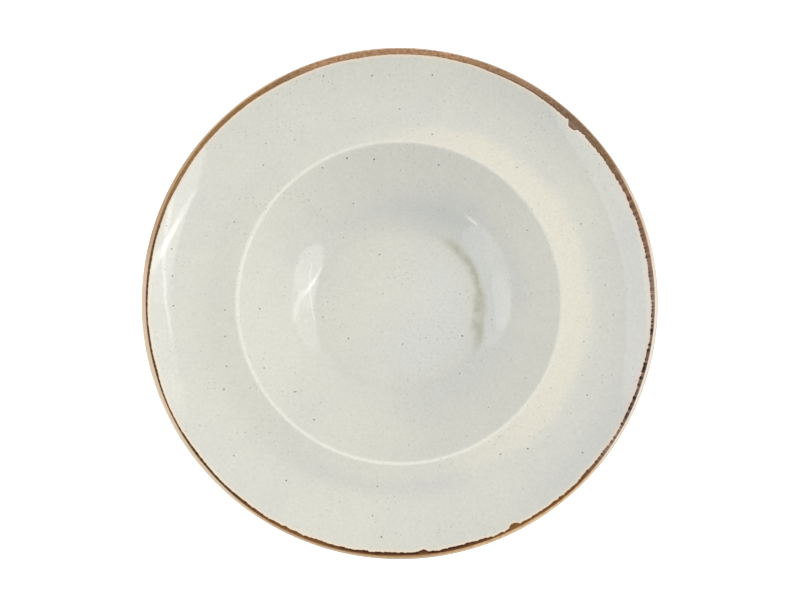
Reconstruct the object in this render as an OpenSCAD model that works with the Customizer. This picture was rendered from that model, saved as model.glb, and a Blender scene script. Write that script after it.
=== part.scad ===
// Rimmed soup plate in glazed stoneware, modelled as it is made: a fired body
// with a foot ring, three glaze coats and a brown band round the lip.
// The coats lie face to face on the body. +Z is up, and the origin is the
// centre of the foot's bearing plane.

/* [Plate] */
// Overall diameter, over the glazed lip
plate_d = 280; // [250:1:320]
// Height of the lip over the crest that rings the well
lip_rise = 8; // [2:0.5:14]

/* [Well] */
// Diameter of the flat floor
floor_d = 79; // [56:1:92]
// Diameter of the crest that rings the well
crest_d = 177; // [155:1:200]
// Height of the crest over the floor
well_depth = 28; // [20:0.5:36]
// How far the crest's rounding reaches to each side of it
crest_round = 1.7; // [0.8:0.1:3]

/* [Rim] */
// Depth of the shallow gutter in the rim, under the crest
gutter_fall = 3.1; // [1.5:0.1:5]
// Thickness of the rim, and of its rounded lip
rim_t = 4.2; // [3.2:0.1:5.5]

/* [Back] */
// Thickness of the well's wall
wall_t = 5; // [4:0.1:6.5]
// Thickness of the base under the floor
base_t = 5.3; // [4:0.1:8]
// How far the bend under the crest reaches to each side
back_round = 9; // [5:0.5:12]

/* [Foot] */
// Outer diameter of the foot ring, where it leaves the base
foot_d = 104; // [96:1:112]
// Width of the foot ring, where it leaves the base
foot_w = 6; // [5:0.1:9]
// Depth of the recess inside the foot ring
recess_h = 3.2; // [2.6:0.1:5]
// How far each side of the foot ring leans in on its way down
foot_taper = 0.6; // [0:0.1:1]
// Rounding of the bearing face's two edges
foot_round = 0.8; // [0.4:0.1:1]
// Fillet between the foot ring and the wall's back
foot_fillet = 2.5; // [1:0.1:3.5]
// Fillet between the foot ring and the recess
recess_fillet = 1.2; // [0.6:0.1:1.6]

/* [Coats] */
// Thickness of the glaze over most of the plate
glaze_t = 0.35; // [0.2:0.01:0.5]
// Thickness of the glaze where it breaks thin over the crest
crest_glaze_t = 0.14; // [0.08:0.01:0.3]
// Thickness of the glaze pooled where the wall meets the floor
pool_t = 0.6; // [0.3:0.01:0.9]
// Thickness of the brown band round the lip
band_t = 0.3; // [0.2:0.01:0.5]
// How far the band reaches in over the rim's face, from the lip's round
band_lap = 1.1; // [0.5:0.1:4]
// How far the band reaches in over the rim's back, from the lip's round
band_back_lap = 1.6; // [0.5:0.1:5]
// Height over the table down to which the foot keeps its full glaze
wiped_h = 1.5; // [1.2:0.1:2]

/* [Hidden] */

// Facets of a full turn, and points of a long curve and of a short round
$fn = 144;
long_steps = 16;
short_steps = 6;

// Part of the wall's run at which its foot and its slope would meet if extended
knee_share = 0.27;
// Part of the rim's width at which the gutter is lowest
gutter_share = 0.37;
// Part of the run from crest to gutter at which the two slopes would meet
shoulder_share = 0.78;
// Part of the run from gutter to lip at which the two slopes would meet
rise_share = 0.41;

// Radii and heights on the face
floor_r = floor_d / 2;
crest_r = crest_d / 2;
floor_z = recess_h + base_t;
crest_z = floor_z + well_depth;
plate_h = crest_z + lip_rise;
gutter_z = crest_z - gutter_fall;

// The lip's rounding is half a circle, as thick as the rim
lip_r = rim_t / 2;
lip_centre = [plate_d / 2 - lip_r, plate_h - lip_r];
gutter_r = crest_r + gutter_share * (lip_centre.x - crest_r);
rim_angle = atan2(plate_h - gutter_z, (1 - rise_share) * (lip_centre.x - gutter_r));

// Where straight tangents of the face meet, each the corner of one bend
knee = [floor_r + knee_share * (crest_r - floor_r), floor_z];
crest = [crest_r, crest_z];
shoulder = [crest_r + shoulder_share * (gutter_r - crest_r), gutter_z];
gutter = [gutter_r, gutter_z];
wall_angle = atan2(crest.y - knee.y, crest.x - knee.x);
shoulder_angle = atan2(shoulder.y - crest.y, shoulder.x - crest.x);
crest_in = crest - crest_round * along(wall_angle);
crest_out = crest + crest_round * along(shoulder_angle);

// Ends of the lip's round, and of the band on each side of the rim
lip_face = lip_centre + lip_r * along(rim_angle + 90);
lip_back = lip_centre - lip_r * along(rim_angle + 90);
band_face = lip_face - band_lap * along(rim_angle);
band_back = lip_back - band_back_lap * along(rim_angle);
rise = [lip_face.x - (lip_face.y - gutter_z) / tan(rim_angle), gutter_z];

// The back: level under the gutter, then down beside the wall to the foot
back_z = gutter_z - rim_t;
back_rise = [lip_back.x - (lip_back.y - back_z) / tan(rim_angle), back_z];
under_crest_z = crest_z - wall_t / cos(wall_angle);
back_corner = [crest_r - (under_crest_z - back_z) / tan(wall_angle), back_z];
back_out = back_corner + [back_round, 0];
back_in = back_corner - back_round * along(wall_angle);
base_corner = [crest_r - (under_crest_z - recess_h) / tan(wall_angle), recess_h];
base_edge = [floor_r, recess_h];

// The wall's back stops at the foot's fillet, part of the way along its bend
foot_r = foot_d / 2;
stop_share = bend_share(back_in, base_corner, base_edge, foot_r + foot_fillet);
stop_corner = back_in + stop_share * (base_corner - back_in);
stop = bend_point(back_in, base_corner, base_edge, stop_share);
stop_slope = (stop_corner.y - stop.y) / (stop_corner.x - stop.x);
fillet_corner = [foot_r, stop.y - foot_fillet * stop_slope];

// The foot ring's own points, from its outer side to its inner side
foot_out_top = fillet_corner - [0, foot_fillet];
foot_out = [foot_r - foot_taper, 0];
foot_in = [foot_r - foot_w + foot_taper, 0];
foot_in_top = [foot_r - foot_w, recess_h - recess_fillet];
foot_out_edge = foot_out + foot_round * toward(foot_out, foot_out_top);
foot_in_edge = foot_in + foot_round * toward(foot_in, foot_in_top);
wiped_out = foot_out + wiped_h * toward(foot_out, foot_out_top);
wiped_in = foot_in + wiped_h * toward(foot_in, foot_in_top);

function along(angle) = [cos(angle), sin(angle)];
function toward(a, b) = (b - a) / norm(b - a);

// A bend leaves a towards the corner and reaches b coming from the corner
function bend_point(a, corner, b, t) =
    (1 - t) * (1 - t) * a + 2 * t * (1 - t) * corner + t * t * b;
// Part of the way along a bend at which its radius is x
function bend_share(a, corner, b, x) =
    let (
        square = a.x - 2 * corner.x + b.x,
        single = 2 * (corner.x - a.x),
        rest = a.x - x
    )
    2 * rest / (sqrt(single * single - 4 * square * rest) - single);

// Stretches of the outline, as [radius, height, coat thickness].
// Each leaves out its first point, which is the last of the one before it.
function bend(a, corner, b, coat_a, coat_b, steps) =
    [for (i = [1:steps])
        let (t = i / steps, p = bend_point(a, corner, b, t))
        [p.x, p.y, coat_a + (coat_b - coat_a) * t]];
function straight(b, coat) = [[b.x, b.y, coat]];
function lip_turn(coat, steps) =
    [for (i = [1:steps])
        let (p = lip_centre + lip_r * along(rim_angle + 90 - 180 * i / steps))
        [p.x, p.y, coat]];

// The finished outline, coats included, one stretch for each coat and the bare foot
face_stretch = concat(
    [[0, floor_z, glaze_t]],
    straight([floor_r, floor_z], pool_t),
    bend([floor_r, floor_z], knee, crest_in, pool_t, crest_glaze_t, long_steps),
    bend(crest_in, crest, crest_out, crest_glaze_t, crest_glaze_t, short_steps),
    bend(crest_out, shoulder, gutter, crest_glaze_t, glaze_t, short_steps),
    bend(gutter, rise, band_face, glaze_t, band_t, long_steps));
band_stretch = concat(
    straight(lip_face, band_t),
    lip_turn(band_t, long_steps),
    straight(band_back, band_t));
back_stretch = concat(
    bend(band_back, back_rise, back_out, band_t, glaze_t, long_steps),
    bend(back_out, back_corner, back_in, glaze_t, glaze_t, short_steps),
    bend(back_in, stop_corner, stop, glaze_t, glaze_t, long_steps),
    bend(stop, fillet_corner, foot_out_top, glaze_t, glaze_t, short_steps),
    straight(wiped_out, glaze_t),
    straight(foot_out_edge, 0));
bare_stretch = concat(
    bend(foot_out_edge, foot_out, foot_out - [foot_round, 0], 0, 0, short_steps),
    straight(foot_in + [foot_round, 0], 0),
    bend(foot_in + [foot_round, 0], foot_in, foot_in_edge, 0, 0, short_steps));
recess_stretch = concat(
    straight(wiped_in, glaze_t),
    straight(foot_in_top, glaze_t),
    bend(foot_in_top, [foot_in_top.x, recess_h], [foot_in_top.x - recess_fillet, recess_h],
        glaze_t, glaze_t, short_steps),
    straight([0, recess_h], glaze_t));
outline = concat(face_stretch, band_stretch, back_stretch, bare_stretch, recess_stretch);

// Where each coat ends in the outline
face_end = len(face_stretch) - 1;
band_end = face_end + len(band_stretch);
back_end = band_end + len(back_stretch);
bare_end = back_end + len(bare_stretch);
last = len(outline) - 1;

// The outline lies outwards of the body by the coat's thickness
function outward(i) =
    let (
        before = outline[max(i - 1, 0)],
        after = outline[min(i + 1, last)],
        run = [after.x - before.x, after.y - before.y]
    )
    [-run.y, run.x] / norm(run);
function outer(i) = [outline[i].x, outline[i].y];
function inner(i) = outer(i) - outline[i].z * outward(i);

module coat(first, end) {
    rotate_extrude()
        polygon(concat(
            [for (i = [first:end]) outer(i)],
            [for (i = [end:-1:first]) if (outline[i].z > 0) inner(i)]));
}

module clay_body() {
    color([0.88, 0.84, 0.76])
        rotate_extrude()
            polygon([for (i = [0:last]) inner(i)]);
}

module face_glaze() {
    color([0.85, 0.85, 0.81])
        coat(0, face_end);
}

module edge_band() {
    color([0.56, 0.4, 0.27])
        coat(face_end, band_end);
}

module back_glaze() {
    color([0.84, 0.84, 0.8])
        coat(band_end, back_end);
}

module recess_glaze() {
    color([0.84, 0.84, 0.8])
        coat(bare_end, last);
}

clay_body();
face_glaze();
edge_band();
back_glaze();
recess_glaze();
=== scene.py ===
# %% [markdown]
# Rimmed soup plate, studio picture.
# The imported CAD model is the fixed frame. Blender adds what a potter adds after the shape: a glaze that
# breaks pale over the crest and pools in the foot of the well, specks of iron, a brown band wiped round the
# lip, and a foot ground bare. Part of the glaze's and the band's colour is painted light: painted shade in
# the well and on the rim, painted light on one shoulder, a painted highlight on the crest and a painted
# reflection on the floor of the well and round the lip. Every size below is the part's own, in millimetres,
# and MM turns it to Blender's metres.

# %% Load the imported plate
import math

import bpy
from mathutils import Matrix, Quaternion, Vector


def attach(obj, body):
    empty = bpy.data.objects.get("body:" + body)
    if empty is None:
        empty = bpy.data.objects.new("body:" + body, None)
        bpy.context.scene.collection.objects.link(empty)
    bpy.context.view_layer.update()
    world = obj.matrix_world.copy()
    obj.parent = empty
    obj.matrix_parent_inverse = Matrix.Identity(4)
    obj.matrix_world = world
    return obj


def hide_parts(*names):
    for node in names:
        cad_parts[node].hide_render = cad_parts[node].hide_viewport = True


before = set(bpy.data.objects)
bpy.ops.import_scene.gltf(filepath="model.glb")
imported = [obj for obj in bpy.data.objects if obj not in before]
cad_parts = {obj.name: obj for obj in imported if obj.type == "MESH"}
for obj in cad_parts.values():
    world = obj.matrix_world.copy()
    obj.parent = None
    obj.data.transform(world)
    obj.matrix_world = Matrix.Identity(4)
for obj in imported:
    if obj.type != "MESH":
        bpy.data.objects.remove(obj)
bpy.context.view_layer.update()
MM = 0.001

# %% [markdown]
# The camera comes first, so that every later piece can be judged in the picture's own view. The picture is
# 800 x 600 pixels. The plate's outline is an ellipse a little wider than high, which gives a camera 7.6
# degrees off the plate's axis. The rings inside it shrink and shift with depth, which gives its distance.

# %% Camera above the plate
LENS = 92.1
SENSOR_WIDTH = 36.0
CAMERA_AT = Vector((0.0, -152.1, 1141.4)) * MM
AIM_AT = Vector((0.15, 5.05, 2.17)) * MM

camera_data = bpy.data.cameras.new("camera")
camera_data.lens = LENS
camera_data.sensor_width = SENSOR_WIDTH
camera = bpy.data.objects.new("camera", camera_data)
camera.location = CAMERA_AT
camera.rotation_mode = "QUATERNION"
camera.rotation_quaternion = (AIM_AT - CAMERA_AT).to_track_quat("-Z", "Y")
bpy.context.scene.collection.objects.link(camera)
bpy.context.scene.camera = camera
print("camera", round((AIM_AT - CAMERA_AT).length / MM), "mm from what it looks at")

# %% [markdown]
# A plate is thrown or pressed against a profile, so its whole shape is one outline turned round an axis. The
# outline is laid out here just as it is in the CAD part: straight tangents meet in corners, and each corner
# is rounded by a bend that leaves one tangent and reaches the next. A curve object could trace it too, but
# points in a list keep their named sizes, and Blender can take more of them than the CAD part does.

# %% Sizes of the outline
LIP_R = 2.1
PLATE_R = 140.0
FLOOR_R = 39.5
FLOOR_Z = 8.5
CREST = Vector((88.5, 36.5))
CREST_ROUND = 1.7
LIP_Z = 44.5
GUTTER_Z = 33.4
WALL_T = 5.0
RECESS_H = 3.2
BACK_ROUND = 9.0
KNEE_SHARE, GUTTER_SHARE, SHOULDER_SHARE, RISE_SHARE = 0.27, 0.37, 0.78, 0.41
FOOT_R, FOOT_W, FOOT_TAPER, FOOT_ROUND = 52.0, 6.0, 0.6, 0.8
FOOT_FILLET, RECESS_FILLET, WIPED_H = 2.5, 1.2, 1.5
COAT, CREST_COAT, POOL_COAT, BAND_COAT = 0.35, 0.14, 0.6, 0.3
BAND_LAP, BAND_BACK_LAP = 1.1, 1.6

# points of a long curve, of a short round, across a level disc, and along a short straight
LONG, SHORT, ACROSS, FEW = 30, 10, 6, 3


# %% Helpers for bends and directions
def along(angle):
    """The direction at an angle above level, as [radius, height]."""
    return Vector((math.cos(angle), math.sin(angle)))


def bend(a, corner, b, coat_a, coat_b, steps):
    """Points of a rounded corner after its first, each with the coat's thickness there."""
    points = []
    for i in range(1, steps + 1):
        t = i / steps
        p = a * (1 - t) ** 2 + corner * 2 * t * (1 - t) + b * t * t
        points.append((p.x, p.y, coat_a + (coat_b - coat_a) * t))
    return points


def straight(a, b, coat, steps=1):
    """Points of a straight stretch after its first."""
    return [(*(a + (b - a) * i / steps), coat) for i in range(1, steps + 1)]


# %% Where the tangents meet
lip_centre = Vector((PLATE_R - LIP_R, LIP_Z - LIP_R))
gutter = Vector((CREST.x + GUTTER_SHARE * (lip_centre.x - CREST.x), GUTTER_Z))
rim_angle = math.atan2(LIP_Z - GUTTER_Z, (1 - RISE_SHARE) * (lip_centre.x - gutter.x))
rim_along, rim_up = along(rim_angle), along(rim_angle + math.pi / 2)

floor_edge = Vector((FLOOR_R, FLOOR_Z))
knee = Vector((FLOOR_R + KNEE_SHARE * (CREST.x - FLOOR_R), FLOOR_Z))
shoulder = Vector((CREST.x + SHOULDER_SHARE * (gutter.x - CREST.x), GUTTER_Z))
wall_along = (CREST - knee).normalized()
crest_in = CREST - CREST_ROUND * wall_along
crest_out = CREST + CREST_ROUND * (shoulder - CREST).normalized()

lip_face = lip_centre + LIP_R * rim_up
lip_back = lip_centre - LIP_R * rim_up
band_face = lip_face - BAND_LAP * rim_along
band_back = lip_back - BAND_BACK_LAP * rim_along
rise = Vector((lip_face.x - (lip_face.y - GUTTER_Z) * rim_along.x / rim_along.y, GUTTER_Z))
print("rim rises at", round(math.degrees(rim_angle), 1), "degrees, wall at",
      round(math.degrees(math.atan2(wall_along.y, wall_along.x)), 1))

# %% The same for the back and the foot
back_z = GUTTER_Z - 2 * LIP_R
back_rise = Vector((lip_back.x - (lip_back.y - back_z) * rim_along.x / rim_along.y, back_z))
under_crest_z = CREST.y - WALL_T / wall_along.x
wall_run = wall_along.x / wall_along.y
back_corner = Vector((CREST.x - (under_crest_z - back_z) * wall_run, back_z))
back_out = back_corner + Vector((BACK_ROUND, 0))
back_in = back_corner - BACK_ROUND * wall_along
base_corner = Vector((CREST.x - (under_crest_z - RECESS_H) * wall_run, RECESS_H))
base_edge = Vector((FLOOR_R, RECESS_H))

# the wall's back stops at the foot's fillet, part of the way along its bend
square = back_in.x - 2 * base_corner.x + base_edge.x
single = 2 * (base_corner.x - back_in.x)
rest = back_in.x - (FOOT_R + FOOT_FILLET)
stop_share = 2 * rest / (math.sqrt(single * single - 4 * square * rest) - single)
stop_corner = back_in.lerp(base_corner, stop_share)
stop = stop_corner.lerp(base_corner.lerp(base_edge, stop_share), stop_share)
stop_slope = (stop_corner.y - stop.y) / (stop_corner.x - stop.x)
fillet_corner = Vector((FOOT_R, stop.y - FOOT_FILLET * stop_slope))

foot_out_top = fillet_corner - Vector((0, FOOT_FILLET))
foot_out = Vector((FOOT_R - FOOT_TAPER, 0))
foot_in = Vector((FOOT_R - FOOT_W + FOOT_TAPER, 0))
foot_in_top = Vector((FOOT_R - FOOT_W, RECESS_H - RECESS_FILLET))
foot_out_edge = foot_out + FOOT_ROUND * (foot_out_top - foot_out).normalized()
foot_in_edge = foot_in + FOOT_ROUND * (foot_in_top - foot_in).normalized()
bears_out = foot_out - Vector((FOOT_ROUND, 0))
bears_in = foot_in + Vector((FOOT_ROUND, 0))
wiped_out = foot_out + WIPED_H * (foot_out_top - foot_out).normalized()
wiped_in = foot_in + WIPED_H * (foot_in_top - foot_in).normalized()
recess_edge = Vector((foot_in_top.x - RECESS_FILLET, RECESS_H))
print("foot ring bears on radii", round(bears_in.x, 1), "to", round(bears_out.x, 1))

# %% The finished outline, stretch by stretch
face_stretch = (
    [(0, FLOOR_Z, COAT)]
    + straight(Vector((0, FLOOR_Z)), floor_edge, COAT, ACROSS)
    + bend(floor_edge, knee, crest_in, POOL_COAT, CREST_COAT, LONG * 2)
    + bend(crest_in, CREST, crest_out, CREST_COAT, CREST_COAT, SHORT)
    + bend(crest_out, shoulder, gutter, CREST_COAT, COAT, LONG)
    + bend(gutter, rise, band_face, COAT, BAND_COAT, LONG))
lip_turn = [(*(lip_centre + LIP_R * along(rim_angle + math.pi * (0.5 - i / LONG))), BAND_COAT)
            for i in range(1, LONG + 1)]
band_stretch = (
    straight(band_face, lip_face, BAND_COAT, FEW)
    + lip_turn
    + straight(lip_back, band_back, BAND_COAT, FEW))
back_stretch = (
    bend(band_back, back_rise, back_out, BAND_COAT, COAT, LONG)
    + bend(back_out, back_corner, back_in, COAT, COAT, SHORT)
    + bend(back_in, stop_corner, stop, COAT, COAT, LONG)
    + bend(stop, fillet_corner, foot_out_top, COAT, COAT, SHORT)
    + straight(foot_out_top, wiped_out, COAT)
    + straight(wiped_out, foot_out_edge, 0))
bare_stretch = (
    bend(foot_out_edge, foot_out, bears_out, 0, 0, SHORT)
    + straight(bears_out, bears_in, 0, FEW)
    + bend(bears_in, foot_in, foot_in_edge, 0, 0, SHORT))
recess_stretch = (
    straight(foot_in_edge, wiped_in, COAT)
    + straight(wiped_in, foot_in_top, COAT)
    + bend(foot_in_top, Vector((foot_in_top.x, RECESS_H)), recess_edge, COAT, COAT, SHORT)
    + straight(recess_edge, Vector((0, RECESS_H)), COAT, ACROSS))
outline = face_stretch + band_stretch + back_stretch + bare_stretch + recess_stretch
print("outline points:", len(outline), "highest", round(max(p[1] for p in outline), 2), "mm")


# %% The clay under the coats
def under_coat(i):
    """The body's own surface under an outline point: the coat's thickness in, square to the outline."""
    before, after = outline[max(i - 1, 0)], outline[min(i + 1, len(outline) - 1)]
    run = Vector((after[0] - before[0], after[1] - before[1])).normalized()
    r, z, coat = outline[i]
    return max(r + coat * run.y, 0), z - coat * run.x


outer = [(r, z) for r, z, coat in outline]
inner = [under_coat(i) for i in range(len(outline))]
face_end = len(face_stretch) - 1
band_end = face_end + len(band_stretch)
back_end = band_end + len(back_stretch)
bare_end = back_end + len(bare_stretch)


def coat_section(first, end):
    """A coat's cross-section: out along the glaze, back along the clay, without doubled points."""
    back = [inner[i] for i in range(end, first - 1, -1) if outline[i][2] > 0]
    return outer[first:end + 1] + back


sections = {
    "stoneware_body": inner,
    "face_glaze_coat": coat_section(0, face_end),
    "brown_lip_band": coat_section(face_end, band_end),
    "back_glaze_coat": coat_section(band_end, back_end),
    "recess_glaze_coat": coat_section(bare_end, len(outline) - 1),
}
print({name: len(points) for name, points in sections.items()})

# %% [markdown]
# Each coat becomes a solid of its own by the Spin tool, the potter's wheel of Blender: one point is drawn out
# into the cross-section by extruding, and the section is spun a full turn about the axis. Spin leaves a
# double row where the turn closes and doubled points on the axis, so these are merged, and only then are the
# normals made to face outwards. Screw on a curve would also do, but Spin needs no modifier and closes the
# poles.

# %% Turn a cross-section on the wheel
TURN_STEPS = 224
MERGE_WITHIN = 0.002 * MM
SHARP_ANGLE = math.radians(35)


def turned(name, section):
    """A closed solid of revolution from a cross-section of [radius, height] points in millimetres."""
    bpy.ops.object.select_all(action="DESELECT")
    start = Vector((section[0][0], 0, section[0][1])) * MM
    bpy.ops.mesh.primitive_plane_add(size=MM, location=start)
    piece = bpy.context.object
    piece.name = piece.data.name = name
    bpy.ops.object.transform_apply(location=True, rotation=True, scale=True)
    bpy.ops.object.mode_set(mode="EDIT")
    bpy.ops.mesh.select_all(action="SELECT")
    bpy.ops.mesh.merge(type="CENTER")
    closed = section if section[-1][0] == 0 else section + section[:1]
    for (r0, z0), (r1, z1) in zip(closed, closed[1:]):
        step = ((r1 - r0) * MM, 0, (z1 - z0) * MM)
        bpy.ops.mesh.extrude_region_move(TRANSFORM_OT_translate={"value": step})
    bpy.ops.mesh.select_all(action="SELECT")
    bpy.ops.mesh.spin(steps=TURN_STEPS, angle=math.tau, center=(0, 0, 0), axis=(0, 0, 1))
    bpy.ops.mesh.select_all(action="SELECT")
    bpy.ops.mesh.remove_doubles(threshold=MERGE_WITHIN)
    bpy.ops.mesh.normals_make_consistent(inside=False)
    bpy.ops.object.mode_set(mode="OBJECT")
    bpy.ops.object.shade_smooth_by_angle(angle=SHARP_ANGLE)
    return piece


# %% The five pieces, each in the place of its CAD node
REPLACED = {
    "stoneware_body": ("clay_body", "fired_clay"),
    "face_glaze_coat": ("face_glaze", "grey_white_glaze"),
    "brown_lip_band": ("edge_band", "brown_band_glaze"),
    "back_glaze_coat": ("back_glaze", "grey_white_glaze"),
    "recess_glaze_coat": ("recess_glaze", "grey_white_glaze"),
}
pieces = {}
for name, (cad_node, slot) in REPLACED.items():
    piece = turned(name, sections[name])
    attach(piece, "root")
    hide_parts(cad_node)
    pieces[name] = piece
    print(name, "for", cad_node, "faces:", len(piece.data.polygons))


# %% [markdown]
# Materials next. Colours are written as the sRGB hex values that a colour picker shows, and Blender reckons
# in linear light, so one function turns one into the other. One small function adds a node, sets its options
# and links its inputs, which keeps every recipe below readable from top to bottom.

# %% Helpers for materials
def linear(hex_colour):
    """An sRGB hex colour as linear red, green, blue and alpha, by the standard's own curve."""
    channels = [int(hex_colour[i:i + 2], 16) / 255 for i in (1, 3, 5)]
    return [c / 12.92 if c <= 0.04045 else ((c + 0.055) / 1.055) ** 2.4 for c in channels] + [1.0]


def node(tree, kind, inputs=None, give=0, **options):
    """Adds a shader node, sets its options and inputs, links given sockets, and returns one output."""
    made = tree.nodes.new("ShaderNode" + kind)
    for option, value in options.items():
        setattr(made, option, value)
    for socket, value in (inputs or {}).items():
        if isinstance(value, bpy.types.NodeSocket):
            tree.links.new(value, made.inputs[socket])
        else:
            made.inputs[socket].default_value = value
    return made.outputs[give]


def new_material(name):
    """An empty node material with its Principled shader, which every finish here is built on."""
    material = bpy.data.materials.new(name)
    material.use_nodes = True
    tree = material.node_tree
    shader = tree.nodes["Principled BSDF"]
    return material, tree, shader


# a Mix of colours: its share is socket 0, the colours are 6 and 7, and the result is output 2
BY, UNDER, OVER = 0, 6, 7
RGBA = {"data_type": "RGBA", "give": 2}
# a MapRange with soft ends
SOFT = {"interpolation_type": "SMOOTHSTEP"}


# %% [markdown]
# A glaze is laid on by hand and fired, so nothing in it lines up with a grid: it follows the turned shape.
# The recipes therefore ask for a point's place in millimetres, its distance from the axis, and its direction
# round the plate. The direction is a unit arrow and not an angle, because an angle jumps where the turn
# closes. Where a recipe names a side, it does so in degrees from the picture's right, by way of its top.

# %% Where a point of the plate is
def plate_place(tree):
    """A point's place in mm, its place on the table plane, its radius, height and direction."""
    here = node(tree, "TexCoord", give="Object")
    place = node(tree, "VectorMath", {0: here, "Scale": 1 / MM}, operation="SCALE")
    flat = node(tree, "VectorMath", {0: place, 1: (1, 1, 0)}, operation="MULTIPLY")
    radius = node(tree, "VectorMath", {0: flat}, give="Value", operation="LENGTH")
    height = node(tree, "SeparateXYZ", {0: place}, give="Z")
    towards = node(tree, "VectorMath", {0: flat}, operation="NORMALIZE")
    return place, flat, radius, height, towards


def faces_up(tree):
    """How far the surface faces up: 1 where it is level, 0 on an upright side and -1 underneath."""
    return node(tree, "SeparateXYZ", {0: node(tree, "TexCoord", give="Normal")}, give="Z")


def facing(tree, towards, degrees, full_within, gone_past):
    """One side of the plate: 1 within so many degrees of a direction, and 0 past so many."""
    side = (math.cos(math.radians(degrees)), math.sin(math.radians(degrees)), 0)
    cosine = node(tree, "VectorMath", {0: towards, 1: side}, give="Value", operation="DOT_PRODUCT")
    return node(tree, "MapRange", {
        "Value": cosine, "From Min": math.cos(math.radians(gone_past)),
        "From Max": math.cos(math.radians(full_within))}, **SOFT)


def partly_facing(tree, towards, degrees, full_within, gone_past, much):
    """One side of the plate, as above, times so much."""
    side = facing(tree, towards, degrees, full_within, gone_past)
    return node(tree, "Math", {0: side, 1: much}, operation="MULTIPLY")


def add_stretches(tree, towards, value, stretches):
    """Adds to a value on stretches of the turn: their direction and two limits in degrees, and how much."""
    for degrees, full_within, gone_past, much in stretches:
        side = facing(tree, towards, degrees, full_within, gone_past)
        value = node(tree, "Math", {0: side, 1: much, 2: value}, operation="MULTIPLY_ADD")
    return value


def ring(tree, radius, centre, half_width):
    """A soft ring round the axis: 1 on its centre line and 0 past its half width."""
    off = node(tree, "Math", {0: radius, 1: centre}, operation="SUBTRACT")
    off = node(tree, "Math", {0: off}, operation="ABSOLUTE")
    return node(tree, "MapRange", {"Value": off, "From Min": half_width, "From Max": 0.0}, **SOFT)


def round_the_lip(tree, radius, height):
    """How far out along the rim a point lies, how far behind the rim, and how far round the lip, in mm."""
    outward = node(tree, "Math", {0: radius, 1: lip_centre.x}, operation="SUBTRACT")
    upward = node(tree, "Math", {0: height, 1: lip_centre.y}, operation="SUBTRACT")
    out = node(tree, "Math", {0: outward, 1: rim_along.x}, operation="MULTIPLY")
    out = node(tree, "Math", {0: upward, 1: rim_along.y, 2: out}, operation="MULTIPLY_ADD")
    over = node(tree, "Math", {0: outward, 1: -rim_along.y}, operation="MULTIPLY")
    over = node(tree, "Math", {0: upward, 1: rim_along.x, 2: over}, operation="MULTIPLY_ADD")
    behind = node(tree, "Math", {0: over, 1: 0.0}, operation="MINIMUM")
    gone_round = node(tree, "Math", {0: behind, 1: -2.0, 2: out}, operation="MULTIPLY_ADD")
    return out, behind, gone_round


# %% [markdown]
# The brown band is iron oxide, brushed round the lip over the glaze, so it belongs to three pieces at once:
# the band itself, and the last millimetre of the coats it laps. All three mix the same stain, worked out from
# how far a point lies outward along the rim, so that its ragged edge runs across the joints unbroken. On the
# real plate it changes as it goes round: an even brushed brown at the back, dark and toothed with a pale
# outside on the right, burnt amber in front, and a fine dark line with a pink-brown outside on the left,
# which turns olive where it meets the back. The pale and pink-brown outsides are partly a wash of oxide and
# partly a painted reflection of the white surroundings on the lip's outer rounding. Three drips reach in.

# %% Iron-oxide band: its sides, its ragged edge and its drips
# how far out from the lip's centre the edge lies and how much further where the band is broad, in mm, and
# how much it draws in for each mm behind the rim
EDGE_AT, BROAD_PART, DRAWN_IN = 0.12, -1.2, 0.45

# stretches of the inner edge, and how much further out each lies, in mm
EDGE_STRETCHES = [
    (20, 45, 65, -0.35), (276, 34, 50, -0.12), (276, 10, 18, -0.4), (178, 12, 34, -0.6),
    (143, 6, 17, -0.65), (0, 5, 14, 0.3), (237, 8, 18, 0.3), (323, 8, 18, 0.2), (24, 8, 18, -0.25),
    (108, 8, 20, -0.25), (223, 5, 12, -0.4), (207, 5, 12, 0.25), (260, 3, 8, 0.25), (268, 5, 11, -0.2),
    (48, 4, 9, -0.35)]
# where each drip is and its half width, in degrees, and how far in it reaches, in mm
DRIPS = [(45.3, 1.7, 2.2), (275.2, 1.3, 1.1), (296.5, 1.5, 2.1)]

# noise on the unit arrow is as coarse as the plate's radius over its scale: teeth 2 mm apart, with finer
# ones in them, lumps of 8 mm, and slow swells of about 30 mm
TEETH, LUMPS, SWELLS = 68.0, 17.0, 5.0
SWELL_DEPTH = 1.4


def band_sides(tree, towards):
    """The band's covered back, dark right, amber front and olive end. Left over is its fine-lined left."""
    return {"back": facing(tree, towards, 74, 40, 50), "right": facing(tree, towards, 6, 40, 54),
            "front": facing(tree, towards, 276, 34, 50), "olive": facing(tree, towards, 137, 13, 30)}


def by_side(tree, sides, left, right, front):
    """One of three colours, by the side of the plate that a point is on."""
    colour = node(tree, "Mix", {BY: sides["right"], UNDER: left, OVER: right}, **RGBA)
    return node(tree, "Mix", {BY: sides["front"], UNDER: colour, OVER: front}, **RGBA)


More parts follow.
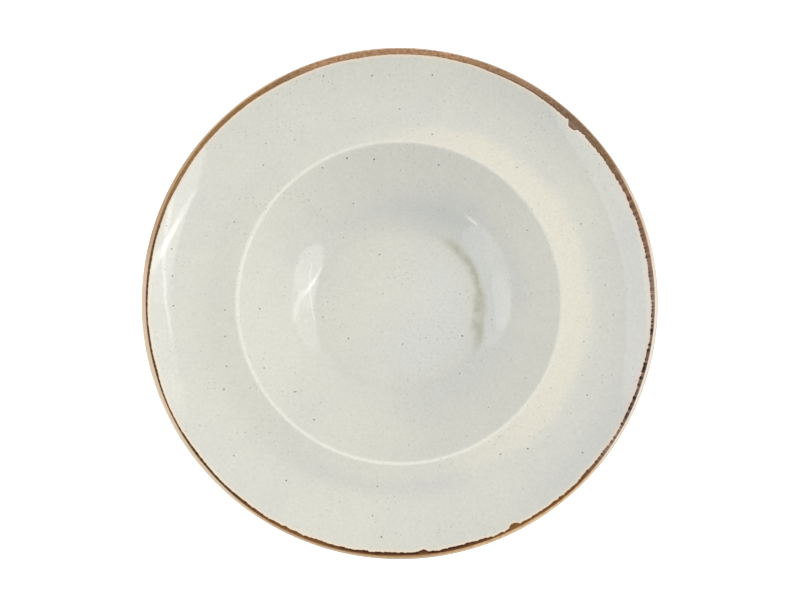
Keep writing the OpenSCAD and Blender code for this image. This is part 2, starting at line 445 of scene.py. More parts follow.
def band_edge(tree, towards, out, behind, sides):
    """How far a point lies inside the band's inner edge, in mm, and the teeth that make the edge ragged."""
    less_broad = node(tree, "Math", {0: sides["right"], 1: 0.3}, operation="MULTIPLY")
    broad = node(tree, "Math", {0: facing(tree, towards, 62, 56, 80), 1: less_broad}, operation="MAXIMUM")
    start = node(tree, "Math", {0: broad, 1: BROAD_PART, 2: EDGE_AT}, operation="MULTIPLY_ADD")
    start = node(tree, "Math", {0: behind, 1: DRAWN_IN, 2: start}, operation="MULTIPLY_ADD")
    start = add_stretches(tree, towards, start, EDGE_STRETCHES)
    inside = node(tree, "Math", {0: out, 1: start}, operation="SUBTRACT")
    for degrees, half_width, reach in DRIPS:
        drip = partly_facing(tree, towards, degrees, 0, half_width, reach)
        inside = node(tree, "Math", {0: inside, 1: drip}, operation="ADD")

    teeth = node(tree, "TexNoise", {"Vector": towards, "Scale": TEETH, "Detail": 3.0, "Roughness": 0.7})
    lumps = node(tree, "TexNoise", {"Vector": towards, "Scale": LUMPS, "Detail": 1.0})
    swells = node(tree, "TexNoise", {"Vector": towards, "Scale": SWELLS, "Detail": 1.0})
    bite = node(tree, "Math", {0: lumps, 1: 0.6, 2: teeth}, operation="MULTIPLY_ADD")
    bite = node(tree, "Math", {0: bite, 1: 0.8}, operation="SUBTRACT")
    ragged = node(tree, "Math", {0: sides["right"], 1: sides["front"]}, operation="MAXIMUM")
    depth = node(tree, "MapRange", {"Value": ragged, "To Min": 0.7, "To Max": 2.5})
    inside = node(tree, "Math", {0: bite, 1: depth, 2: inside}, operation="MULTIPLY_ADD")
    swell = node(tree, "Math", {0: swells, 1: 0.5}, operation="SUBTRACT")
    return node(tree, "Math", {0: swell, 1: SWELL_DEPTH, 2: inside}, operation="MULTIPLY_ADD"), teeth


# %% Iron-oxide band: the brushed brown that wraps the lip
BRUSHED_BROWN, BRUSHED_TAN = "#7A573C", "#C69E78"
EDGE_BROWN, SHADE_BROWN, DUSTY_BROWN, OLIVE_BROWN = "#563A25", "#4F3A28", "#6E5F52", "#6A5230"
WORN_PALE_AND_REFLECTION = "#EBDCCB"

# grains of oxide about 2 mm long and 0.5 mm wide, laid along the lip by the brush
GRAIN, GRAIN_ACROSS = 75.0, 0.025


def oxide_grain(tree, towards, gone_round):
    """The brush's grain in the oxide, from 0 to 1."""
    across = node(tree, "Math", {0: gone_round, 1: GRAIN_ACROSS}, operation="MULTIPLY")
    grain = node(tree, "TexNoise", {
        "Vector": towards, "W": across, "Scale": GRAIN, "Detail": 3.0, "Roughness": 0.7},
        noise_dimensions="4D")
    return node(tree, "MapRange", {"Value": grain, "From Min": 0.36, "From Max": 0.64})


def brushed_brown(tree, towards, gone_round, sides, inside, grain, hem):
    """Grained brown, darker at its edges, dusty or olive in places, and paler at its outer rounding, partly
    from wear and partly painted reflection.
    """
    edges = node(tree, "MapRange", {"Value": inside, "From Min": 1.2, "From Max": 0.2}, **SOFT)
    darker = facing(tree, towards, 46, 14, 28)
    darker = node(tree, "MapRange", {"Value": darker, "To Min": 0.15, "To Max": 0.9})
    edges = node(tree, "Math", {0: edges, 1: darker}, operation="MULTIPLY")
    hem_shade = node(tree, "Math", {0: hem, 1: 0.5}, operation="MULTIPLY")
    edges = node(tree, "Math", {0: edges, 1: hem_shade}, operation="MAXIMUM")
    shade = node(tree, "Math", {0: sides["right"], 1: 0.5}, operation="MULTIPLY")
    dusty = partly_facing(tree, towards, 58, 6, 20, 0.28)
    olive = node(tree, "Math", {0: sides["olive"], 1: 0.5}, operation="MULTIPLY")
    # paler at the outermost rounding at the back: partly wear, partly a painted reflection of the white
    # surroundings
    worn_and_reflected = node(tree, "MapRange", {
        "Value": gone_round, "From Min": 1.65, "From Max": 2.05, "To Max": 0.65}, **SOFT)
    worn_and_reflected = node(tree, "Math", {0: worn_and_reflected, 1: facing(tree, towards, 76, 44, 56)}, operation="MULTIPLY")
    brown = node(tree, "Mix", {BY: grain, UNDER: linear(BRUSHED_BROWN), OVER: linear(BRUSHED_TAN)}, **RGBA)
    for much, over in ((edges, EDGE_BROWN), (shade, SHADE_BROWN), (dusty, DUSTY_BROWN), (olive, OLIVE_BROWN),
                       (worn_and_reflected, WORN_PALE_AND_REFLECTION)):
        brown = node(tree, "Mix", {BY: much, UNDER: brown, OVER: linear(over)}, **RGBA)
    return brown


# %% Iron-oxide band: the paler outside of the lip, partly a painted reflection
# the pale and pink-brown outsides are partly a wash of oxide and partly a painted reflection of the white
# surroundings
PALE_WASH_AND_REFLECTION, PALE_HEM, PALE_WARM = "#E9DCCD", "#C3AA92", "#D8C2AA"
PINK_WASH_AND_REFLECTION, SANDY_BROWN, BACK_LEFT_BROWN = "#DDBFA5", "#D9C3A8", "#BFA07F"
AMBER, AMBER_PALE, AMBER_BURNT = "#B38858", "#E0BC90", "#946A40"
FADED_PALE_AND_REFLECTION = "#EFE0CC"


def lip_outside_with_reflection(tree, towards, gone_round, sides, grain, hem):
    """Pale with a narrow brown hem on the right, pink-brown on the left, amber in front. The pale and
    pink-brown are partly painted reflection.
    """
    right = node(tree, "Mix", {BY: hem, UNDER: linear(PALE_WASH_AND_REFLECTION), OVER: linear(PALE_HEM)}, **RGBA)
    warm = facing(tree, towards, 26, 8, 20)
    right = node(tree, "Mix", {BY: warm, UNDER: right, OVER: linear(PALE_WARM)}, **RGBA)
    sandy = facing(tree, towards, 210, 14, 34)
    left = node(tree, "Mix", {BY: sandy, UNDER: linear(PINK_WASH_AND_REFLECTION), OVER: linear(SANDY_BROWN)}, **RGBA)
    back_left = facing(tree, towards, 146, 16, 32)
    left = node(tree, "Mix", {BY: back_left, UNDER: left, OVER: linear(BACK_LEFT_BROWN)}, **RGBA)
    front = node(tree, "Mix", {BY: grain, UNDER: linear(AMBER), OVER: linear(AMBER_PALE)}, **RGBA)
    burnt = partly_facing(tree, towards, 260, 14, 28, 0.6)
    front = node(tree, "Mix", {BY: burnt, UNDER: front, OVER: linear(AMBER_BURNT)}, **RGBA)

    # it fades paler on its way out, partly a painted reflection of the white surroundings on the lip's outer
    # rounding, but not on the right or beside the olive end
    faded_and_reflected = node(tree, "MapRange", {
        "Value": gone_round, "From Min": 1.6, "From Max": 2.15, "To Max": 0.5}, **SOFT)
    kept_from_paling = facing(tree, towards, 156, 10, 20)
    kept_from_paling = node(tree, "Math", {0: kept_from_paling, 1: sides["right"]}, operation="MAXIMUM")
    elsewhere = node(tree, "Math", {0: 1.0, 1: kept_from_paling}, operation="SUBTRACT")
    faded_and_reflected = node(tree, "Math", {0: faded_and_reflected, 1: elsewhere}, operation="MULTIPLY")
    outside = by_side(tree, sides, left, right, front)
    return node(tree, "Mix", {BY: faded_and_reflected, UNDER: outside, OVER: linear(FADED_PALE_AND_REFLECTION)}, **RGBA)


# %% Iron-oxide band: its dark line, and how far round the lip it reaches
RIGHT_GREY, RIGHT_BROWN, RIGHT_DARK = "#A88D7B", "#967358", "#1C120C"
FRONT_BROWN, FRONT_DARK = "#A0713F", "#3E1A02"
LEFT_BROWN, LEFT_DARK = "#674A2C", "#3E2B19"
OLIVE_DARK, OLIVE_TAN = "#775A34", "#9E7A53"

# how far round the lip the line reaches, and how much further on each side and stretch, in mm
LINE_END = 1.0
LINE_SIDES = {"right": 0.2, "front": 0.3, "olive": 0.5}
LINE_STRETCHES = [(246, 16, 26, 0.25), (320, 10, 20, 0.3), (172, 22, 34, -0.3), (225, 8, 20, 0.15),
                  (268, 6, 12, -0.15)]


def dark_line(tree, towards, sides, inside, teeth, grain):
    """The line's colour, darkest in its teeth and at its inner edge."""
    tooth = node(tree, "MapRange", {"Value": teeth, "From Min": 0.38, "From Max": 0.62})
    near_edge = node(tree, "MapRange", {"Value": inside, "From Min": 1.8, "From Max": 0.2, "To Min": 0.55})
    depth = node(tree, "Math", {0: tooth, 1: near_edge}, operation="MULTIPLY")
    deeper = partly_facing(tree, towards, 342, 8, 18, 0.3)
    depth = node(tree, "Math", {0: depth, 1: deeper}, operation="ADD", use_clamp=True)
    browner = facing(tree, towards, 25, 8, 22)
    right = node(tree, "Mix", {BY: browner, UNDER: linear(RIGHT_GREY), OVER: linear(RIGHT_BROWN)}, **RGBA)
    right = node(tree, "Mix", {BY: depth, UNDER: right, OVER: linear(RIGHT_DARK)}, **RGBA)

    depth = node(tree, "MapRange", {"Value": facing(tree, towards, 273, 9, 22), "To Min": 0.6})
    depth = node(tree, "Math", {0: depth, 1: near_edge}, operation="MULTIPLY")
    depth = node(tree, "Math", {0: tooth, 1: 0.25, 2: depth}, operation="MULTIPLY_ADD", use_clamp=True)
    front = node(tree, "Mix", {BY: depth, UNDER: linear(FRONT_BROWN), OVER: linear(FRONT_DARK)}, **RGBA)

    left = node(tree, "Mix", {BY: tooth, UNDER: linear(LEFT_BROWN), OVER: linear(LEFT_DARK)}, **RGBA)
    olive = node(tree, "Mix", {BY: grain, UNDER: linear(OLIVE_DARK), OVER: linear(OLIVE_TAN)}, **RGBA)
    left = node(tree, "Mix", {BY: sides["olive"], UNDER: left, OVER: olive}, **RGBA)
    return by_side(tree, sides, left, right, front)


def line_cover(tree, towards, gone_round, sides):
    """Where the dark line covers the lip: 1 up to its end and 0 past it."""
    end = LINE_END
    for side, further in LINE_SIDES.items():
        end = node(tree, "Math", {0: sides[side], 1: further, 2: end}, operation="MULTIPLY_ADD")
    end = add_stretches(tree, towards, end, LINE_STRETCHES)
    past_end = node(tree, "Math", {0: gone_round, 1: end}, operation="SUBTRACT")
    return node(tree, "MapRange", {"Value": past_end, "From Min": 0.2, "From Max": -0.15}, **SOFT)


# %% Iron-oxide band over the glaze
FRINGE, FRINGE_RIGHT, BLUSH_AND_SHADE_LEFT = "#FFE0BE", "#EFC7AB", "#E9CBA8"
BLUSH_REACH = 2.3
EDGE_SOFT = 0.14


def band_colour(tree, towards, gone_round, sides, inside, teeth):
    """Brown where the band wraps the lip, and elsewhere a dark line with a paler outside, partly painted
    reflection.
    """
    grain = oxide_grain(tree, towards, gone_round)
    hem = node(tree, "MapRange", {"Value": gone_round, "From Min": 1.9, "From Max": 2.3}, **SOFT)
    brown = brushed_brown(tree, towards, gone_round, sides, inside, grain, hem)
    outside = lip_outside_with_reflection(tree, towards, gone_round, sides, grain, hem)
    line = dark_line(tree, towards, sides, inside, teeth, grain)
    cover = line_cover(tree, towards, gone_round, sides)
    lined = node(tree, "Mix", {BY: cover, UNDER: outside, OVER: line}, **RGBA)
    return node(tree, "Mix", {BY: sides["back"], UNDER: lined, OVER: brown}, **RGBA)


def lip_stain(tree, radius, height, towards, colour):
    """Lays the band over a glaze colour, with the blush that its iron leaves in the glaze beside it, darker
    on the left as painted shade.
    """
    out, behind, gone_round = round_the_lip(tree, radius, height)
    sides = band_sides(tree, towards)
    inside, teeth = band_edge(tree, towards, out, behind, sides)
    blush = node(tree, "MapRange", {
        "Value": inside, "From Min": -BLUSH_REACH, "From Max": 0.0, "To Max": 0.55}, **SOFT)
    right = facing(tree, towards, 2, 22, 42)
    # painted shade: the blush on the left is drawn darker, which dims the lamp's reflection beside the band
    left = facing(tree, towards, 158, 8, 22)
    fringe = node(tree, "Mix", {BY: right, UNDER: linear(FRINGE), OVER: linear(FRINGE_RIGHT)}, **RGBA)
    fringe = node(tree, "Mix", {BY: left, UNDER: fringe, OVER: linear(BLUSH_AND_SHADE_LEFT)}, **RGBA)
    colour = node(tree, "Mix", {BY: blush, UNDER: colour, OVER: fringe}, **RGBA)
    cover = node(tree, "MapRange", {"Value": inside, "From Min": -EDGE_SOFT, "From Max": EDGE_SOFT}, **SOFT)
    stain = band_colour(tree, towards, gone_round, sides, inside, teeth)
    return cover, node(tree, "Mix", {BY: cover, UNDER: colour, OVER: stain}, **RGBA)


# %% [markdown]
# The glaze itself is a glossy grey-white that lets the clay's iron through as specks. It clings least to the
# raised crest, which therefore shows as a narrow cream line; that line is partly a painted highlight,
# strongest on the left. On the side towards the key light the shoulder outside the crest shows a broad cream
# patch down to the gutter, partly glaze run off and partly painted light. The glaze flows into the angle at
# the foot of the well, where it stands thicker and olive, and that line is drawn darkest on the right as
# painted shade. More patches of painted shade darken the wall and the rim, and a painted reflection of the
# sky cools the floor's right. The glaze's mottling is far too fine to model, so it is noise and cells in the
# colour, with a very low bump for the pits and the soft unevenness that wavers a reflection.

# %% Colours of the glaze
GLAZE, GLAZE_COOL = "#D9D8CC", "#D4D4CB"
# the crest's cream is partly a painted highlight and the shoulder's cream partly painted light
CREST_CREAM_AND_HIGHLIGHT, SHOULDER_CREAM_AND_LIGHT = "#EBE9DC", "#E3DFCE"
# the grey of the painted shade, the back's darker angles, and the floor's painted reflection of the sky
OLIVE, PAINTED_SHADE_GREY, BACK_ANGLE_GREY, PAINTED_SKY_REFLECTION = "#A3A38A", "#C3C6C5", "#B9BAA9", "#D4D7D6"
SPECK, FAINT_SPECK = "#4C4B42", "#A5A595"

# %% Specks of iron
# the cells' size, the share of them that hold a speck, and its smallest and largest radius, in mm
FAINT_SPECKS = {"cell": 3.4, "share": 0.5, "small": 0.2, "large": 0.45}
STRONG_SPECKS = {"cell": 16.0, "share": 0.42, "small": 0.13, "large": 0.5}

# noise in mm is as coarse as 1 over its scale: mottle of 1.7 mm and finer, clusters of about 17 mm
MOTTLE, CLUSTERS = 0.6, 0.06


def specks(tree, flat, cell, share, small, large):
    """Round specks scattered on the glaze, no more than one in a cell."""
    scale = 1 / cell
    cells = {"Vector": flat, "Scale": scale}
    near = node(tree, "TexVoronoi", cells, give="Distance", voronoi_dimensions="2D")
    luck = node(tree, "TexVoronoi", cells, give="Color", voronoi_dimensions="2D")
    draw = node(tree, "SeparateColor", {0: luck}, give="Red")
    size = node(tree, "SeparateColor", {0: luck}, give="Green")
    held = node(tree, "Math", {0: draw, 1: share}, operation="LESS_THAN")
    radius = node(tree, "MapRange", {"Value": size, "To Min": small * scale, "To Max": large * scale})
    past = node(tree, "Math", {0: near, 1: radius}, operation="DIVIDE")
    spot = node(tree, "MapRange", {"Value": past, "From Min": 1.3, "From Max": 0.6}, **SOFT)
    return node(tree, "Math", {0: spot, 1: held}, operation="MULTIPLY")


def speckle(tree, place, flat, colour):
    """Adds fine mottle, clusters of faint specks and a few strong ones, and gives the pits they leave."""
    mottle = node(tree, "TexNoise", {"Vector": place, "Scale": MOTTLE, "Detail": 3.0, "Roughness": 0.7})
    mottle = node(tree, "MapRange", {
        "Value": mottle, "From Min": 0.3, "From Max": 0.7, "To Min": 0.947, "To Max": 1.048})
    colour = node(tree, "VectorMath", {0: colour, "Scale": mottle}, operation="SCALE")
    clusters = node(tree, "TexNoise", {"Vector": place, "Scale": CLUSTERS, "Detail": 2.0})
    clusters = node(tree, "MapRange", {
        "Value": clusters, "From Min": 0.46, "From Max": 0.62, "To Min": 0.05, "To Max": 0.7})
    faint = specks(tree, flat, **FAINT_SPECKS)
    faint = node(tree, "Math", {0: faint, 1: clusters}, operation="MULTIPLY")
    strong = specks(tree, flat, **STRONG_SPECKS)

    # the cells lie in the table's plane, so they would be streaks on the steep sides of foot and lip
    slope = node(tree, "Math", {0: faces_up(tree)}, operation="ABSOLUTE")
    level = node(tree, "MapRange", {"Value": slope, "From Min": 0.3, "From Max": 0.6})
    faint = node(tree, "Math", {0: faint, 1: level}, operation="MULTIPLY")
    strong = node(tree, "Math", {0: strong, 1: level}, operation="MULTIPLY")
    colour = node(tree, "Mix", {BY: faint, UNDER: colour, OVER: linear(FAINT_SPECK)}, **RGBA)
    shown = node(tree, "Math", {0: strong, 1: 0.85}, operation="MULTIPLY")
    colour = node(tree, "Mix", {BY: shown, UNDER: colour, OVER: linear(SPECK)}, **RGBA)
    return colour, node(tree, "Math", {0: strong, 1: faint}, operation="ADD")


# %% Cream on the shoulder and the crest's cream line: partly thinner glaze, partly painted light and a painted highlight
SHOULDER_FROM, SHOULDER_FADES, SHOULDER_GONE = 88.4, 100.0, 109.5
CREST_LINE = (88.8, 1.6)

# the patch's outer edge wanders by 4.5 mm to each side, in waves of about 20 mm
PATCH_WANDER, PATCH_WANDER_REACH = 0.05, 9.0


def cream_and_painted_light(tree, place, radius, towards, colour):
    """Lays the cream of the shoulder, partly painted light, and of the crest, partly a painted highlight,
    over a glaze colour.
    """
    reach = node(tree, "TexNoise", {"Vector": place, "Scale": PATCH_WANDER, "Detail": 2.0})
    reach = node(tree, "Math", {0: reach, 1: PATCH_WANDER_REACH, 2: -PATCH_WANDER_REACH / 2}, operation="MULTIPLY_ADD")
    reach = node(tree, "Math", {0: radius, 1: reach}, operation="ADD")
    narrower = facing(tree, towards, 2, 25, 130)
    narrower = node(tree, "MapRange", {"Value": narrower, "To Min": 14.0, "To Max": 0.0})
    reach = node(tree, "Math", {0: reach, 1: narrower}, operation="ADD")
    # painted light: the shoulder's cream patch is drawn on the side towards the key light, partly a cream
    # tint and partly the light that falls there
    shoulder_cream_and_light = node(tree, "MapRange", {
        "Value": reach, "From Min": SHOULDER_GONE, "From Max": SHOULDER_FADES, "To Max": 0.73}, **SOFT)
    shoulder_cream_and_light = node(tree, "Math", {0: shoulder_cream_and_light, 1: facing(tree, towards, 14, 45, 112)}, operation="MULTIPLY")
    outside_crest = node(tree, "Math", {0: radius, 1: SHOULDER_FROM}, operation="GREATER_THAN")
    shoulder_cream_and_light = node(tree, "Math", {0: shoulder_cream_and_light, 1: outside_crest}, operation="MULTIPLY")
    colour = node(tree, "Mix", {BY: shoulder_cream_and_light, UNDER: colour, OVER: linear(SHOULDER_CREAM_AND_LIGHT)}, **RGBA)

    # painted highlight: the crest's cream line is partly the pale glaze break and partly a painted highlight,
    # strongest on the left
    crest = facing(tree, towards, 205, 60, 150)
    crest = node(tree, "MapRange", {"Value": crest, "To Min": 0.35, "To Max": 0.82})
    crest = node(tree, "Math", {0: crest, 1: ring(tree, radius, *CREST_LINE)}, operation="MULTIPLY")
    return node(tree, "Mix", {BY: crest, UNDER: colour, OVER: linear(CREST_CREAM_AND_HIGHLIGHT)}, **RGBA)


# %% Painted shade in patches, drawn a little darker and cooler, and a painted reflection on the floor
# each patch's direction and its two limits in degrees, its radius and half width in mm, and how much
PAINTED_SHADE_PATCHES = [
    (8, 60, 120, 53.0, 21.0, 0.28),    # the wall's foot on the right
    (358, 30, 58, 30.0, 17.0, 0.12),   # the floor on the right
    (65, 20, 115, 55.0, 11.0, 0.28),   # the wall behind
    (190, 25, 60, 49.0, 14.0, 0.14),   # the wall's foot on the left
    (5, 45, 75, 131.0, 16.0, 0.3),     # the rim inside the band on the right
    (262, 12, 34, 102.0, 8.0, 0.26),   # the shoulder in front
    (34, 20, 50, 66.0, 10.0, 0.26),    # the wall behind on the right, half way up
    (12, 18, 42, 51.0, 7.5, 0.26),     # the wall's foot on the right, its darkest part
    (54, 8, 28, 58.5, 6.0, 0.2),       # the wall behind on the right, lower down
]

# the floor is cooler on the right than on the left, a painted reflection of the sky, across a line that is
# turned 15 degrees
COOL_WITHIN, COOL_TO = 30.0, 44.0
RIGHTWARD = (0.966, -0.259, 0.0)
RIGHT_FROM, RIGHT_TO = -22.0, 26.0


def painted_shade_and_reflection(tree, flat, radius, towards, colour):
    """Lays patches of painted shade and the painted cool reflection on the floor's right over a glaze colour.
    """
    painted_shade = 0.0
    # each patch is painted shade, darker where less light falls
    for degrees, full_within, gone_past, centre, half, much in PAINTED_SHADE_PATCHES:
        patch = facing(tree, towards, degrees, full_within, gone_past)
        patch = node(tree, "Math", {0: patch, 1: ring(tree, radius, centre, half)}, operation="MULTIPLY")
        painted_shade = node(tree, "Math", {0: patch, 1: much, 2: painted_shade}, operation="MULTIPLY_ADD")
    colour = node(tree, "Mix", {BY: painted_shade, UNDER: colour, OVER: linear(PAINTED_SHADE_GREY)}, **RGBA)

    sky_reflection_share = node(tree, "MapRange", {
        "Value": radius, "From Min": COOL_TO, "From Max": COOL_WITHIN, "To Max": 0.35}, **SOFT)
    rightward = node(tree, "VectorMath", {0: flat, 1: RIGHTWARD}, give="Value", operation="DOT_PRODUCT")
    rightward = node(tree, "MapRange", {
        "Value": rightward, "From Min": RIGHT_FROM, "From Max": RIGHT_TO}, **SOFT)
    sky_reflection_share = node(tree, "Math", {0: sky_reflection_share, 1: rightward}, operation="MULTIPLY")
    return node(tree, "Mix", {BY: sky_reflection_share, UNDER: colour, OVER: linear(PAINTED_SKY_REFLECTION)}, **RGBA)


# %% Where the glaze pools, and painted shade along its line on the right
# rings by radius and half width in mm: the pool and its painted shade, its runs, and the foot ring's two
# angles on the back
POOL_AND_SHADE, POOL_AND_SHADE_RUNS = (45.9, 4.3), (42.6, 3.0)
ANGLE_OUT, ANGLE_IN = (54.8, 3.2), (44.6, 2.4)

# the pool's blots are about 6 mm wide
BLOTS = 0.16


def olive_pool_and_shade(tree, place, radius, towards, colour):
    """Lays an uneven olive line along the wall's foot, which bears outwards at its near end: pooled glaze,
    drawn darkest on the right as painted shade.
    """
    outer_end = add_stretches(tree, towards, radius, [(322, 7, 27, -2.0)])
    blots = node(tree, "TexNoise", {"Vector": place, "Scale": BLOTS, "Detail": 3.0})
    blots = node(tree, "MapRange", {"Value": blots, "From Min": 0.38, "From Max": 0.6, "To Min": 0.55})
    # painted shade: the line is strongest on the right, where the wall's foot lies in shade
    pool_and_shade = facing(tree, towards, 14, 24, 50)
    pool_and_shade = node(tree, "MapRange", {"Value": pool_and_shade, "To Min": 0.06, "To Max": 0.7})
    pool_and_shade = node(tree, "Math", {0: pool_and_shade, 1: ring(tree, outer_end, *POOL_AND_SHADE)}, operation="MULTIPLY")
    runs = facing(tree, towards, 356, 6, 18)
    runs = node(tree, "Math", {0: runs, 1: ring(tree, radius, *POOL_AND_SHADE_RUNS)}, operation="MULTIPLY")
    pool_and_shade = node(tree, "Math", {0: runs, 1: 0.5, 2: pool_and_shade}, operation="MULTIPLY_ADD")
    pool_and_shade = node(tree, "Math", {0: pool_and_shade, 1: blots}, operation="MULTIPLY", use_clamp=True)
    return node(tree, "Mix", {BY: pool_and_shade, UNDER: colour, OVER: linear(OLIVE)}, **RGBA)


def face_or_back(tree, radius, plain, colour):
    """Keeps the face's colour on what faces up. The back is plain, and darker at the foot's angles."""
    angles = node(tree, "Math", {0: ring(tree, radius, *ANGLE_OUT), 1: ring(tree, radius, *ANGLE_IN)},
                  operation="MAXIMUM")
    angles = node(tree, "Math", {0: angles, 1: 0.55}, operation="MULTIPLY")
    back = node(tree, "Mix", {BY: angles, UNDER: plain, OVER: linear(BACK_ANGLE_GREY)}, **RGBA)
    upward = node(tree, "MapRange", {"Value": faces_up(tree), "From Min": -0.05, "From Max": 0.05})
    return node(tree, "Mix", {BY: upward, UNDER: back, OVER: colour}, **RGBA)


# %% Speckled grey-white glaze
# warm and cool clouds of 70 mm, and faint runs down the slope, 5 to 9 mm wide and 30 mm long
CLOUDS = 0.014
RUNS, RUNS_DOWN = 16.0, 0.002

# an unevenness of a few hundredths of a millimetre every 11 mm, and pits as deep under the specks
WAVES = 0.09
BUMP_HEIGHT = 0.03 * MM

# the glaze is a mirror, the brushed oxide over it a little duller
GLAZE_DULL, OXIDE_DULL = 0.055, 0.4


def glaze(name, ior):
    """Glossy speckled glaze, with the band's stain over it."""
    material, tree, shader = new_material(name)
    place, flat, radius, height, towards = plate_place(tree)
    clouds = node(tree, "TexNoise", {"Vector": place, "Scale": CLOUDS, "Detail": 3.0})
    clouds = node(tree, "MapRange", {"Value": clouds, "From Min": 0.38, "From Max": 0.62})
    colour = node(tree, "Mix", {BY: clouds, UNDER: linear(GLAZE), OVER: linear(GLAZE_COOL)}, **RGBA)
    down = node(tree, "Math", {0: radius, 1: RUNS_DOWN}, operation="MULTIPLY")
    runs = node(tree, "TexNoise", {"Vector": towards, "W": down, "Scale": RUNS, "Detail": 4.0},
                noise_dimensions="4D")
    runs = node(tree, "MapRange", {
        "Value": runs, "From Min": 0.3, "From Max": 0.7, "To Min": 0.985, "To Max": 1.01})
    plain = node(tree, "VectorMath", {0: colour, "Scale": runs}, operation="SCALE")

    colour = cream_and_painted_light(tree, place, radius, towards, plain)
    colour = painted_shade_and_reflection(tree, flat, radius, towards, colour)
    colour = olive_pool_and_shade(tree, place, radius, towards, colour)
    colour = face_or_back(tree, radius, plain, colour)
    colour, pitted = speckle(tree, place, flat, colour)
    cover, colour = lip_stain(tree, radius, height, towards, colour)
    tree.links.new(colour, shader.inputs["Base Color"])

    waves = node(tree, "TexNoise", {"Vector": place, "Scale": WAVES, "Detail": 1.0})
    uneven = node(tree, "Bump", {"Height": waves, "Distance": BUMP_HEIGHT}, give="Normal")
    pits = node(tree, "Bump", {"Height": pitted, "Distance": BUMP_HEIGHT, "Normal": uneven}, give="Normal",
                invert=True)
    tree.links.new(pits, shader.inputs["Normal"])
    dull = node(tree, "MapRange", {"Value": cover, "To Min": GLAZE_DULL, "To Max": OXIDE_DULL})
    tree.links.new(dull, shader.inputs["Roughness"])
    shader.inputs["IOR"].default_value = ior
    return material


# a glassy glaze gives sharp reflections, and the drier oxide on the lip mirrors less
GLAZE_IOR, OXIDE_IOR = 1.55, 1.26
speckled_glaze = glaze("speckled_grey_white_glaze", GLAZE_IOR)
iron_band = glaze("iron_oxide_band_over_glaze", OXIDE_IOR)
print("glaze nodes:", len(speckled_glaze.node_tree.nodes))


# %% Bare ground stoneware
# grains of sand of 0.5 mm and finer, grit, and turning rings 0.3 mm apart
SAND, RINGS = 2.2, 3.0
GRIT_SPECKS = {"cell": 3.0, "share": 0.3, "small": 0.1, "large": 0.25}
CLAY, CLAY_PALE, GRIT = "#C9B89C", "#E2D6C0", "#8A7459"
CLAY_BUMP = 0.06 * MM
CLAY_ROUGHNESS = 0.8


def bare_clay():
    """Fired stoneware, ground flat on a wheel: matt, sandy, with fine turning rings."""
    material, tree, shader = new_material("ground_stoneware")
    place, flat, radius = plate_place(tree)[:3]
    sand = node(tree, "TexNoise", {"Vector": place, "Scale": SAND, "Detail": 4.0, "Roughness": 0.7})
    colour = node(tree, "Mix", {BY: sand, UNDER: linear(CLAY), OVER: linear(CLAY_PALE)}, **RGBA)
    grit = specks(tree, flat, **GRIT_SPECKS)
    colour = node(tree, "Mix", {BY: grit, UNDER: colour, OVER: linear(GRIT)}, **RGBA)
    tree.links.new(colour, shader.inputs["Base Color"])
    outward = node(tree, "Math", {0: radius, 1: RINGS}, operation="MULTIPLY")
    rings = node(tree, "TexNoise", {"W": outward, "Scale": 1.0, "Detail": 2.0}, noise_dimensions="1D")
    both = node(tree, "Math", {0: rings, 1: sand}, operation="ADD")
    bump = node(tree, "Bump", {"Height": both, "Distance": CLAY_BUMP}, give="Normal")
    tree.links.new(bump, shader.inputs["Normal"])
    shader.inputs["Roughness"].default_value = CLAY_ROUGHNESS
    return material


ground_clay = bare_clay()

# %% Give each piece its finish
FINISHES = {"fired_clay": ground_clay, "grey_white_glaze": speckled_glaze, "brown_band_glaze": iron_band}
for name, (cad_node, slot) in REPLACED.items():
    pieces[name].data.materials.append(FINISHES[slot])
    print(name, "is finished in", FINISHES[slot].name)


# %% [markdown]
# The plate stands on a plain pale table that the light has washed to white. A little glow of its own keeps it
# white beside the plate, where a real table would only be white because the picture is exposed for the glaze.
# What the table sends up to the plate's back is less than what is seen of it, or the back would be washed out
# too. It is so large that its edge never shows, and its underside is clear, so that the plate's foot can be
# seen from below.

# %% Pale table
TABLE_SIZE = 20.0
TABLE_WHITE, PURE_WHITE = "#EEEEEE", "#FFFFFF"
TABLE_ROUGHNESS = 0.9
GLOW_SENT, GLOW_SEEN = 0.2, 0.75


def pale_table():
    """A matt white table top, seen from above only."""
    bpy.ops.object.select_all(action="DESELECT")
    bpy.ops.mesh.primitive_plane_add(size=TABLE_SIZE, location=(0, 0, 0))
    table = bpy.context.object
    table.name = table.data.name = "pale_table"
    material, tree, shader = new_material("matt_white_table")
    shader.inputs["Base Color"].default_value = linear(TABLE_WHITE)
    shader.inputs["Roughness"].default_value = TABLE_ROUGHNESS
    shader.inputs["Emission Color"].default_value = linear(PURE_WHITE)
    looked_at = node(tree, "LightPath", give="Is Camera Ray")
    glow = node(tree, "MapRange", {"Value": looked_at, "To Min": GLOW_SENT, "To Max": GLOW_SEEN})
    tree.links.new(glow, shader.inputs["Emission Strength"])
    under = node(tree, "NewGeometry", give="Backfacing")
    clear = node(tree, "BsdfTransparent")
    seen = node(tree, "MixShader", {0: under, 1: shader.outputs["BSDF"], 2: clear})
    tree.links.new(seen, tree.nodes["Material Output"].inputs["Surface"])
    table.data.materials.append(material)
    print(table.name, TABLE_SIZE, "m wide")


pale_table()

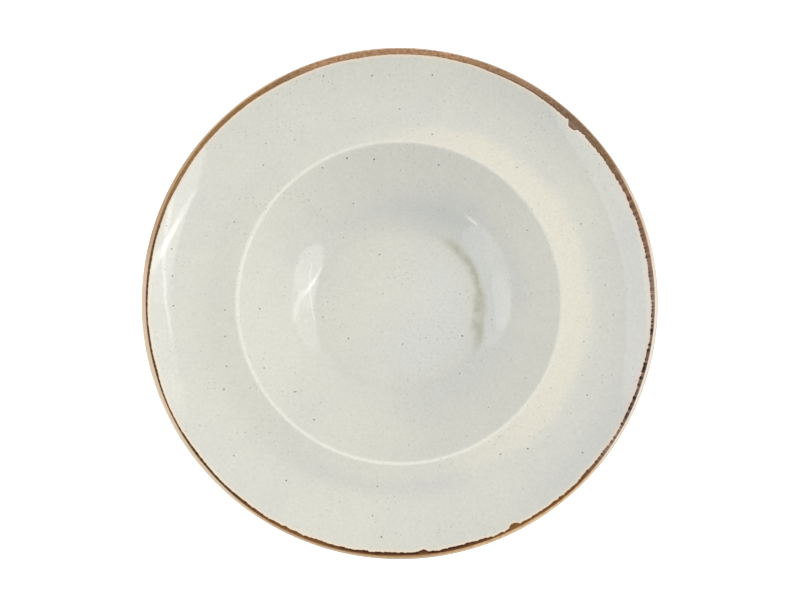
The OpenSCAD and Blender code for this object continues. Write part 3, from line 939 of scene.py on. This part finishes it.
# %% [markdown]
# The light is a soft white room, a little brighter above, with broad pale walls far off to the left and the
# right, and two big oval lamps that stand upright, one on each side. A glaze is a mirror over grey-white, so
# each lamp shows twice: in the well's wall and in the rim across from it. The lamps' shapes and places come
# from there, because each bright patch can be followed back along its reflected ray.
# The right lamp's near half is the brighter one, and two bright tubes cross behind its cloth. Each tube is
# made of a few ovals, because it is dimmer or wider towards its ends. The left lamp has a brighter glow low
# down and a fainter one beside it, and a thin gap next to it lets a strip of window through.

# %% Soft white room with pale walls
ROOM_LIGHT = 0.484
ROOM_SLANT = (0.092, 0.078, 0.325)

# each wall's direction in degrees and how bright it is, and how high and how narrow they all are
PALE_WALLS = {0: 0.78, 45: 0.26, 112: 0.08, 180: 0.555}
WALL_ABOVE = math.radians(12)
WALL_NARROW = 5.0

world = bpy.data.worlds.new("white_room")
bpy.context.scene.world = world
world.use_nodes = True
room = world.node_tree
looking = node(room, "TexCoord")
slanted = node(room, "VectorMath", {0: looking, 1: ROOM_SLANT}, give="Value", operation="DOT_PRODUCT")
brightness = node(room, "Math", {0: slanted, 1: ROOM_LIGHT}, operation="ADD")
for degrees, bright in PALE_WALLS.items():
    turn = math.radians(degrees)
    middle = (math.cos(WALL_ABOVE) * math.cos(turn), math.cos(WALL_ABOVE) * math.sin(turn),
              math.sin(WALL_ABOVE))
    wall = node(room, "VectorMath", {0: looking, 1: middle}, give="Value", operation="DOT_PRODUCT")
    wall = node(room, "Math", {0: wall, 1: 0.0}, operation="MAXIMUM")
    wall = node(room, "Math", {0: wall, 1: WALL_NARROW}, operation="POWER")
    brightness = node(room, "Math", {0: wall, 1: bright, 2: brightness}, operation="MULTIPLY_ADD")
room.links.new(brightness, room.nodes["Background"].inputs["Strength"])
room.nodes["Background"].inputs["Color"].default_value = linear(PURE_WHITE)
print("pale walls at", list(PALE_WALLS), "degrees round the plate")

# %% Oval lamps and bright tubes
# each lamp's name, place, width and height in mm, how bright it looks, and its roll in degrees
LAMPS = [
    ("right_lamp", (800, 90, 855), 1080, 600, 0.85),
    ("right_glow", (798, -130, 860), 640, 560, 0.92),
    ("long_tube", (796, -42, 894), 300, 56, 3.2, -60),
    ("long_tube_foot", (796, 38, 730), 220, 64, 2.2, -66),
    ("long_tube_tail", (796, 165, 602), 230, 64, 1.7, -28),
    ("tube_top", (795, -122, 1000), 470, 84, 2.2, -54),
    ("short_tube", (794, -107, 812), 280, 46, 2.6, 17),
    ("short_tube_end", (794, 145, 950), 460, 50, 2.7, 35),
    ("left_lamp", (-800, -112, 918), 1345, 740, 0.95, 16.5),
    ("left_glow", (-796, 90, 652), 520, 240, 0.95, 12),
    ("left_far_glow", (-798, -430, 880), 600, 420, 0.4, 20),
    ("window_strip", (-796, -757, 848), 262, 30, 4.0, 31, "RECTANGLE"),
]


def soft_lamp(name, place, wide, high, radiance, roll=0.0, shape="ELLIPSE"):
    """An evenly bright upright lamp that faces across the table, with power for how bright it looks."""
    data = bpy.data.lights.new(name, "AREA")
    data.shape = shape
    data.size, data.size_y = wide * MM, high * MM
    area = data.size * data.size_y * (math.pi / 4 if shape == "ELLIPSE" else 1)
    data.energy = radiance * math.pi * area
    lamp = bpy.data.objects.new(name, data)
    lamp.location = Vector(place) * MM
    lamp.rotation_mode = "QUATERNION"
    turn = Vector((-place[0], 0, 0)).to_track_quat("-Z", "Y")
    lamp.rotation_quaternion = turn @ Quaternion((0, 0, 1), math.radians(roll))
    bpy.context.scene.collection.objects.link(lamp)
    print(name, "power", round(data.energy, 2), "W")


for lamp in LAMPS:
    soft_lamp(*lamp)

# %% Plain colours in the picture
view = bpy.context.scene.view_settings
view.view_transform = "Standard"
view.look = "None"
print("view", view.view_transform)
